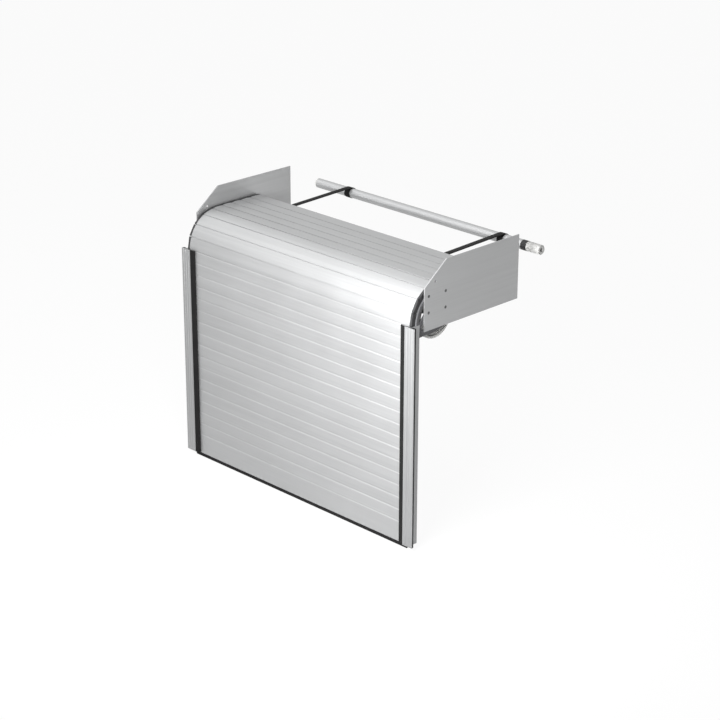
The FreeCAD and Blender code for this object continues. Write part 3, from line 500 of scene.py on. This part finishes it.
class SHUTTER_OT_seals(bpy.types.Operator):
    """Give the lips, gaskets and bottom seal their black rubber"""

    bl_idname = "shutter.seals"
    bl_label = "Seals"

    def execute(self, context):
        rubber = moulded_material(
            "rubber_black", settings().finish.rubber, rough=0.6, grain=900.0, gloss=0.08
        )
        finish_nodes(nodes_named("lip_seal", "body_gasket", "bottom_seal"), rubber)
        return {"FINISHED"}


class SHUTTER_OT_shoes(bpy.types.Operator):
    """Give the end shoes and the roller's collar their black plastic"""

    bl_idname = "shutter.shoes"
    bl_label = "Shoes and collar"

    def execute(self, context):
        black = moulded_material("shoe_plastic", settings().finish.shoe, rough=0.5, gloss=0.35)
        finish_nodes(nodes_named("shoes_", "roller_collar"), black)
        return {"FINISHED"}


class SHUTTER_OT_plates(bpy.types.Operator):
    """Give the side plates their bare sheet, with lines that run to the rear"""

    bl_idname = "shutter.plates"
    bl_label = "Side plates"

    def execute(self, context):
        sheet = metal_material(
            "plate_steel", settings().finish.plate, REARWARD, rough=0.36, metallic=0.85,
            patch=0.06,
        )
        finish_nodes(nodes_named("side_plate"), sheet)
        return {"FINISHED"}


class SHUTTER_OT_tracks(bpy.types.Operator):
    """Give the bend tracks, the guide wheels, their axles and clips and the spindle their finish"""

    bl_idname = "shutter.tracks"
    bl_label = "Tracks, wheels and axles"

    def execute(self, context):
        finish = settings().finish
        dark = moulded_material("track_plastic", finish.track, rough=0.5)
        finish_nodes(nodes_named("bend_track"), dark)
        white = moulded_material("wheel_plastic", finish.white, rough=0.38, bloom=0.05)
        finish_nodes(nodes_named("guide_wheel"), white)
        steel = metal_material("axle_steel", finish.steel, ACROSS, rough=0.30, contrast=0.1)
        finish_nodes(["wheel_axles", "wheel_clips", "roller_spindle"], steel)
        return {"FINISHED"}


class SHUTTER_OT_roller(bpy.types.Operator):
    """Give the roller's tube, end bearings and spring anchors their finishes"""

    bl_idname = "shutter.roller"
    bl_label = "Roller"

    def execute(self, context):
        finish = settings().finish
        drawn = metal_material("tube_aluminium", finish.tube, ACROSS, rough=0.46, metallic=0.9)
        finish_nodes(["roller_tube"], drawn)
        white = moulded_material("bearing_plastic", finish.white, rough=0.35, bloom=0.05)
        finish_nodes(nodes_named("end_bearing", "spring_anchor"), white)
        return {"FINISHED"}


# Making helpers


def clear_selection():
    bpy.ops.object.select_all(action="DESELECT")


def select_only(piece):
    clear_selection()
    piece.select_set(True)
    bpy.context.view_layer.objects.active = piece


def apply_place(piece):
    select_only(piece)
    bpy.ops.object.transform_apply(location=True, rotation=True, scale=True)


def apply_modifiers(piece):
    select_only(piece)
    for modifier in list(piece.modifiers):
        bpy.ops.object.modifier_apply(modifier=modifier.name)


def join_to(piece, other):
    select_only(piece)
    other.select_set(True)
    bpy.ops.object.join()


def face_outwards(piece):
    select_only(piece)
    bpy.ops.object.mode_set(mode="EDIT")
    bpy.ops.mesh.select_all(action="SELECT")
    bpy.ops.mesh.remove_doubles(threshold=MERGE_DISTANCE)
    bpy.ops.mesh.normals_make_consistent(inside=False)
    bpy.ops.object.mode_set(mode="OBJECT")


def smooth_by_angle(piece, degrees):
    select_only(piece)
    bpy.ops.object.shade_smooth_by_angle(angle=math.radians(degrees))


def add_object(name, data):
    added = bpy.data.objects.new(name, data)
    bpy.context.scene.collection.objects.link(added)
    return added


def straight_curve(name, points):
    """A curve of straight runs from point to point."""
    curve = bpy.data.curves.new(name, "CURVE")
    curve.dimensions = "3D"
    spline = curve.splines.new("POLY")
    spline.points.add(len(points) - 1)
    for point, place in zip(spline.points, points):
        point.co = (*place, 1.0)
    return curve


def mesh_of(name, curve):
    """A mesh piece with the form of a curve."""
    select_only(add_object(name, curve))
    bpy.ops.object.convert(target="MESH")
    return bpy.context.object


def centre_of(low, high):
    return (low + high) / 2


def solids_of(name):
    """The boxes of the separate solids in a node, in the order of their places."""
    mesh = bmesh.new()
    mesh.from_mesh(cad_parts[name].data)
    bmesh.ops.remove_doubles(mesh, verts=mesh.verts, dist=MERGE_DISTANCE)
    waiting = set(mesh.verts)
    boxes = []
    while waiting:
        front = [waiting.pop()]
        found = list(front)
        while front:
            vertex = front.pop()
            for edge in vertex.link_edges:
                other = edge.other_vert(vertex)
                if other in waiting:
                    waiting.discard(other)
                    front.append(other)
                    found.append(other)
        low = Vector([min(vertex.co[axis] for vertex in found) for axis in range(3)])
        high = Vector([max(vertex.co[axis] for vertex in found) for axis in range(3)])
        boxes.append((low, high))
    mesh.free()
    return sorted(boxes, key=lambda box: [round(value, 4) for value in box[0]])


# Screws


HEAD_SIDES = 40
STEM_SIDES = 24
# Shares of a round head's height: how far down its edges are rounded, and how far down an edge
# still counts as the top's.
HEAD_ROUNDING = 0.7
HEAD_TOP = 0.1
SCREW_SMOOTHING = 40.0


def head_blank(name, radius, foot, height, rounded):
    """A screw head that stands along Z with its top at the origin, rounded or flat on top."""
    clear_selection()
    bpy.ops.mesh.primitive_cone_add(
        vertices=HEAD_SIDES, radius1=foot, radius2=radius, depth=height,
        location=(0, 0, -height / 2),
    )
    head = bpy.context.object
    head.name = name
    apply_place(head)
    if rounded:
        bpy.ops.object.mode_set(mode="EDIT")
        bpy.ops.mesh.select_mode(type="EDGE")
        bpy.ops.mesh.select_all(action="DESELECT")
        bpy.ops.object.mode_set(mode="OBJECT")
        corners = head.data.vertices
        for edge in head.data.edges:
            edge.select = all(corners[i].co.z > -height * HEAD_TOP for i in edge.vertices)
        bpy.ops.object.mode_set(mode="EDIT")
        bpy.ops.mesh.bevel(offset=height * HEAD_ROUNDING, segments=5, profile=0.5)
        bpy.ops.object.mode_set(mode="OBJECT")
    return head


def cross_headed_screw(name, radius, foot, height, rounded, whole):
    """A screw with a cross recess in its head, standing along Z with its top at the origin."""
    screws = settings().screws
    screw = head_blank(name, radius, foot, height, rounded)
    cutters = []
    for turn in (0.0, math.pi / 2):
        clear_selection()
        bpy.ops.mesh.primitive_cube_add(size=1.0, location=(0, 0, 0), rotation=(0, 0, turn))
        arm = bpy.context.object
        arm.scale = (screws.recess_span, screws.recess_width, 2 * screws.recess_depth)
        apply_place(arm)
        cutters.append(arm)
    for cutter in cutters:
        recess = screw.modifiers.new("recess", "BOOLEAN")
        recess.operation = "DIFFERENCE"
        recess.solver = "EXACT"
        recess.object = cutter
    apply_modifiers(screw)
    for cutter in cutters:
        bpy.data.objects.remove(cutter)
    clear_selection()
    bpy.ops.mesh.primitive_cylinder_add(
        vertices=STEM_SIDES, radius=screws.shank, depth=whole - height,
        location=(0, 0, -(whole + height) / 2),
    )
    stem = bpy.context.object
    apply_place(stem)
    join_to(screw, stem)
    face_outwards(screw)
    smooth_by_angle(screw, SCREW_SMOOTHING)
    return screw


def stand_copy(model, name, top, outward):
    """A copy of a piece with its own mesh, its Z turned to face outward and its top in place."""
    copy = add_object(name, model.data.copy())
    copy.data.name = name
    turn = outward.to_track_quat("Z", "Y").to_matrix().to_4x4()
    copy.matrix_world = Matrix.Translation(top) @ turn
    apply_place(copy)
    return copy


def place_screws(node, axis, outward_of, rounded, steel):
    """Model one screw of a group and stand a copy of it in the place of each."""
    screws = settings().screws
    boxes = solids_of(node)
    low, high = boxes[0]
    spans = high - low
    radius = max(spans[index] for index in range(3) if index != axis) / 2
    foot = radius if rounded else screws.shank
    height = screws.head if rounded else radius - screws.shank
    model = cross_headed_screw(f"{node}_model", radius, foot, height, rounded, spans[axis])
    model.data.materials.append(steel)
    for number, (low, high) in enumerate(boxes, start=1):
        top = centre_of(low, high)
        outward = outward_of(top)
        top[axis] = (high if outward[axis] > 0 else low)[axis]
        screw = stand_copy(model, f"{node}_{number}", top, outward)
        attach(screw, "frame")
        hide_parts(node)
    bpy.data.objects.remove(model)


def away_from_middle(place):
    return Vector((math.copysign(1.0, place.x), 0, 0))


def to_the_rear(place):
    return Vector((0, 1, 0))


class SHUTTER_OT_screws(bpy.types.Operator):
    """Model the plates' flush screws and the tracks' round-headed ones, with cross recesses"""

    bl_idname = "shutter.screws"
    bl_label = "Screws"

    def execute(self, context):
        dark_steel = settings().finish.dark_steel
        dark = metal_material("screw_dark_steel", dark_steel, ACROSS, rough=0.5, contrast=0.1)
        zinc = bpy.data.materials["axle_steel"]
        place_screws("plate_screws", ACROSS, away_from_middle, False, dark)
        place_screws("lug_screws", REARWARD, to_the_rear, True, zinc)
        return {"FINISHED"}


# Torsion spring


COIL_STEPS = 20
COIL_SMOOTHING = 60.0


class SHUTTER_OT_spring(bpy.types.Operator):
    """Wind the torsion spring round the spindle"""

    bl_idname = "shutter.spring"
    bl_label = "Torsion spring"

    def execute(self, context):
        spring = settings().spring
        low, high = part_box("torsion_spring")
        middle = centre_of(low, high)
        mean = (high.z - low.z) / 2 - spring.wire
        start, end = low.x + spring.wire, high.x - spring.wire
        count = spring.turns * COIL_STEPS
        points = []
        for step in range(count + 1):
            turned = math.tau * step / COIL_STEPS
            points.append((
                start + (end - start) * step / count,
                middle.y + mean * math.cos(turned),
                middle.z + mean * math.sin(turned),
            ))
        curve = straight_curve("torsion_spring_coil", points)
        curve.bevel_depth = spring.wire
        curve.bevel_resolution = 1
        curve.use_fill_caps = True
        coil = mesh_of("torsion_spring_coil", curve)
        face_outwards(coil)
        smooth_by_angle(coil, COIL_SMOOTHING)
        oiled = metal_material("spring_steel", settings().finish.spring, ACROSS, rough=0.35)
        coil.data.materials.append(oiled)
        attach(coil, "frame")
        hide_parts("torsion_spring")
        return {"FINISHED"}


# Straps


# The twill against the threads: its width, and how steeply it climbs.
TWILL_WIDTH, TWILL_CLIMB = 2.0, 0.8
BEAD_SIDES = 20
STRAP_SMOOTHING = 50.0


def webbing_material():
    """Woven webbing: threads across it, a twill that climbs along it, a slight sheen, and painted
    shade and highlight in its weave.
    """
    straps = settings().straps
    material, tree, shader, position = new_material("strap_webbing")
    along = add_node(
        tree, "ShaderNodeAttribute", attribute_name="run_length", attribute_type="GEOMETRY"
    ).outputs["Fac"]
    across = add_node(tree, "ShaderNodeSeparateXYZ", {0: position}).outputs["X"]
    pace = math.tau / straps.thread
    warp = math_node(tree, "SINE", math_node(tree, "MULTIPLY", across, pace))
    twill_across = math_node(tree, "MULTIPLY", across, pace / TWILL_WIDTH)
    twill_along = math_node(tree, "MULTIPLY", along, pace * TWILL_CLIMB)
    twill = math_node(tree, "SINE", math_node(tree, "ADD", twill_across, twill_along))
    # Two sines add up to between -2 and 2, and a quarter of that plus a half to between 0 and 1.
    weave = math_node(tree, "MULTIPLY", math_node(tree, "ADD", warp, twill), 0.25)
    height = math_node(tree, "ADD", weave, 0.5)
    bump = add_node(tree, "ShaderNodeBump", {
        "Height": height, "Distance": 0.0002, "Strength": 0.8,
    })
    feed(tree, shader, {
        # The colour follows the weave's height: painted shade in its hollows and a painted
        # highlight on its crests.
        "Base Color": mix_shades(tree, height, settings().finish.strap, dark=0.6, light=1.7),
        "Normal": bump.outputs["Normal"],
        "Roughness": 0.8,
        "Specular IOR Level": 0.08,
        "Sheen Weight": 0.04,
        "Sheen Roughness": 0.5,
    })
    return material


def ribbon(name, line, width, side):
    """A strap along a line of points in the YZ plane, centred on its place across."""
    straps = settings().straps
    curve = straight_curve(name, [(y, z, 0.0) for y, z in line])
    curve.extrude = width / 2
    curve.twist_mode = "Z_UP"
    piece = mesh_of(name, curve)
    # The curve's X and Y are the frame's Y and Z.
    piece.matrix_world = Matrix(((0, 0, 1, side), (1, 0, 0, 0), (0, 1, 0, 0), (0, 0, 0, 1)))
    apply_place(piece)
    solidify = piece.modifiers.new("thickness", "SOLIDIFY")
    solidify.thickness = straps.thickness
    solidify.offset = 0.0
    bevel = piece.modifiers.new("selvedge", "BEVEL")
    bevel.width = straps.edge
    bevel.segments = 2
    bevel.limit_method = "ANGLE"
    bevel.angle_limit = math.radians(STRAP_SMOOTHING)
    apply_modifiers(piece)
    face_outwards(piece)
    smooth_by_angle(piece, STRAP_SMOOTHING)
    return piece


def add_bead(strap, place, width):
    """Sew a round bead across the end of a strap."""
    clear_selection()
    bpy.ops.mesh.primitive_cylinder_add(
        vertices=BEAD_SIDES, radius=settings().straps.bead, depth=width, location=place,
        rotation=(0, math.pi / 2, 0),
    )
    bead = bpy.context.object
    apply_place(bead)
    join_to(strap, bead)
    smooth_by_angle(strap, STRAP_SMOOTHING)


def mark_length(piece, line):
    """Store on each point of a strap how far along its line it lies."""
    lengths = [0.0]
    for here, there in zip(line, line[1:]):
        lengths.append(lengths[-1] + math.dist(here, there))
    attribute = piece.data.attributes.new("run_length", "FLOAT", "POINT")
    for vertex in piece.data.vertices:
        place = (vertex.co.y, vertex.co.z)
        nearest = min(range(len(line)), key=lambda i: math.dist(line[i], place))
        attribute.data[vertex.index].value = lengths[nearest]


def finish_strap(piece, line, webbing, node, body):
    """Mark the strap's length, give it its webbing and let it stand for its node."""
    mark_length(piece, line)
    piece.data.materials.append(webbing)
    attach(piece, body)
    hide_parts(node)


def winding_line():
    """Points of the winding's middle line, from its outer end in front to its inner end."""
    straps = settings().straps
    low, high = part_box("roller_tube")
    axis = centre_of(low, high)
    inner = (high.z - low.z) / 2 + straps.seat
    turn = straps.ahead + straps.behind
    steps = round(straps.steps * turn / math.tau)
    line = []
    for step in range(steps + 1):
        past_top = turn * step / steps - straps.ahead
        radius = inner + straps.pitch * (straps.behind - past_top) / math.tau
        line.append((axis.y + radius * math.sin(past_top), axis.z + radius * math.cos(past_top)))
    return line


class SHUTTER_OT_straps(bpy.types.Operator):
    """Weave the two straps: the free run to the rear slat, and the turns on the tube"""

    bl_idname = "shutter.straps"
    bl_label = "Straps"

    def execute(self, context):
        straps = settings().straps
        webbing = webbing_material()
        for label, (low, high) in zip(("left", "right"), solids_of("strap_runs")):
            across = (low.x + high.x) / 2
            width = high.x - low.x
            line = winding_line()
            turns = ribbon(f"strap_turns_{label}", line, width, across)
            finish_strap(turns, line, webbing, "strap_windings", "roller")
            front = Vector((low.y + straps.bead, low.z + straps.bead))
            back = Vector((high.y, high.z - straps.thickness / 2))
            shares = [step / straps.steps for step in range(straps.steps + 1)]
            line = [tuple(front.lerp(back, part)) for part in shares]
            free = ribbon(f"strap_run_{label}", line, width, across)
            add_bead(free, (across, *front), width)
            finish_strap(free, line, webbing, "strap_runs", "frame")
            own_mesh(free)
        return {"FINISHED"}


# Stage


FLOOR_WHITE = (0.86, 0.86, 0.86, 1.0)
FLOOR_WIDTH = 60.0
# The lamps all face this place, near the middle of the shutter.
LAMP_TARGET = Vector((0.0, 0.15, 0.45))


def seen_or_mirrored(tree):
    """One for the rays that show the background: straight, reflected and through glass."""
    path = add_node(tree, "ShaderNodeLightPath").outputs
    seen = math_node(tree, "MAXIMUM", path["Is Camera Ray"], path["Is Glossy Ray"])
    return math_node(tree, "MAXIMUM", seen, path["Is Transmission Ray"])


def backdrop_material():
    """White where seen or mirrored, with some real light so that the floor keeps its shadow."""
    material, tree, shader, _ = new_material("white_floor")
    feed(tree, shader, {"Base Color": FLOOR_WHITE, "Roughness": 0.9})
    glow = add_node(tree, "ShaderNodeEmission", {"Color": WHITE, "Strength": 1.0})
    glow_share = math_node(tree, "MULTIPLY", seen_or_mirrored(tree), settings().stage.glow)
    mix = add_node(tree, "ShaderNodeMixShader", {
        0: glow_share, 1: shader.outputs["BSDF"], 2: glow.outputs["Emission"],
    })
    feed(tree, tree.nodes["Material Output"], {"Surface": mix.outputs[0]})
    return material


def white_world(ambient):
    """Surroundings that look white and give only an even light of the given level."""
    world = bpy.data.worlds.new("studio")
    bpy.context.scene.world = world
    world.use_nodes = True
    tree = world.node_tree
    tree.nodes.clear()
    white = add_node(tree, "ShaderNodeBackground", {"Color": WHITE, "Strength": 1.0})
    even = add_node(tree, "ShaderNodeBackground", {"Color": WHITE, "Strength": ambient})
    mix = add_node(tree, "ShaderNodeMixShader", {
        0: seen_or_mirrored(tree), 1: even.outputs["Background"], 2: white.outputs["Background"],
    })
    add_node(tree, "ShaderNodeOutputWorld", {"Surface": mix.outputs[0]})


def area_lamp(name, place, wide, watts):
    lamp = bpy.data.lights.new(name, "AREA")
    lamp.shape = "SQUARE"
    lamp.size = wide
    lamp.energy = watts
    holder = add_object(name, lamp)
    holder.visible_camera = False
    holder.location = place
    holder.rotation_euler = (LAMP_TARGET - Vector(place)).to_track_quat("-Z", "Y").to_euler()


def place_camera(stage):
    lens = bpy.data.cameras.new("view")
    lens.lens = stage.lens
    lens.sensor_width = 36.0
    lens.clip_end = FLOOR_WIDTH
    camera = add_object("view", lens)
    turn = Euler((math.pi / 2 - stage.elevation, stage.roll, stage.azimuth))
    camera.matrix_world = Matrix.Translation(stage.eye) @ turn.to_matrix().to_4x4()
    bpy.context.scene.camera = camera


class SHUTTER_OT_stage(bpy.types.Operator):
    """Set the pale floor, the soft lights and the camera"""

    bl_idname = "shutter.stage"
    bl_label = "Stage"

    def execute(self, context):
        stage = settings().stage
        clear_selection()
        bpy.ops.mesh.primitive_plane_add(size=FLOOR_WIDTH, location=(0, 0, -stage.floor_drop))
        floor = bpy.context.object
        floor.name = "floor"
        apply_place(floor)
        floor.data.materials.append(backdrop_material())
        white_world(stage.ambient)
        area_lamp("near_lamp", (0.61, -0.91, 0.90), wide=0.6, watts=stage.near)
        area_lamp("overhead_lamp", (0.0, -0.90, 3.05), wide=1.6, watts=stage.overhead)
        area_lamp("side_lamp", (-2.13, 0.15, 1.94), wide=1.4, watts=stage.side)
        area_lamp("front_lamp", (-1.51, -1.36, 1.94), wide=1.4, watts=stage.front)
        place_camera(stage)
        bpy.context.scene.view_settings.view_transform = "Standard"
        return {"FINISHED"}


# Add-on


OPERATORS = [
    SHUTTER_OT_stage,
    SHUTTER_OT_curtain,
    SHUTTER_OT_rails,
    SHUTTER_OT_seals,
    SHUTTER_OT_shoes,
    SHUTTER_OT_plates,
    SHUTTER_OT_tracks,
    SHUTTER_OT_roller,
    SHUTTER_OT_screws,
    SHUTTER_OT_spring,
    SHUTTER_OT_straps,
]


class SHUTTER_PT_panel(bpy.types.Panel):
    """The shutter's operators, in the order in which they run"""

    bl_idname = "SHUTTER_PT_panel"
    bl_label = "Roller shutter"
    bl_space_type = "VIEW_3D"
    bl_region_type = "UI"
    bl_category = "Shutter"

    def draw(self, context):
        for operator in OPERATORS:
            self.layout.operator(operator.bl_idname)


CLASSES = [
    ShutterFinish,
    ShutterBend,
    ShutterJoints,
    ShutterStraps,
    ShutterScrews,
    ShutterSpring,
    ShutterStage,
    ShutterSettings,
    *OPERATORS,
    SHUTTER_PT_panel,
]


def register():
    for entry in CLASSES:
        bpy.utils.register_class(entry)
    bpy.types.Scene.shutter_settings = PointerProperty(type=ShutterSettings)


def unregister():
    del bpy.types.Scene.shutter_settings
    for entry in reversed(CLASSES):
        bpy.utils.unregister_class(entry)


def main():
    register()
    bpy.ops.shutter.stage()
    bpy.ops.shutter.curtain()
    bpy.ops.shutter.rails()
    bpy.ops.shutter.seals()
    bpy.ops.shutter.shoes()
    bpy.ops.shutter.plates()
    bpy.ops.shutter.tracks()
    bpy.ops.shutter.roller()
    bpy.ops.shutter.screws()
    bpy.ops.shutter.spring()
    bpy.ops.shutter.straps()


if __name__ == "__main__":
    main()
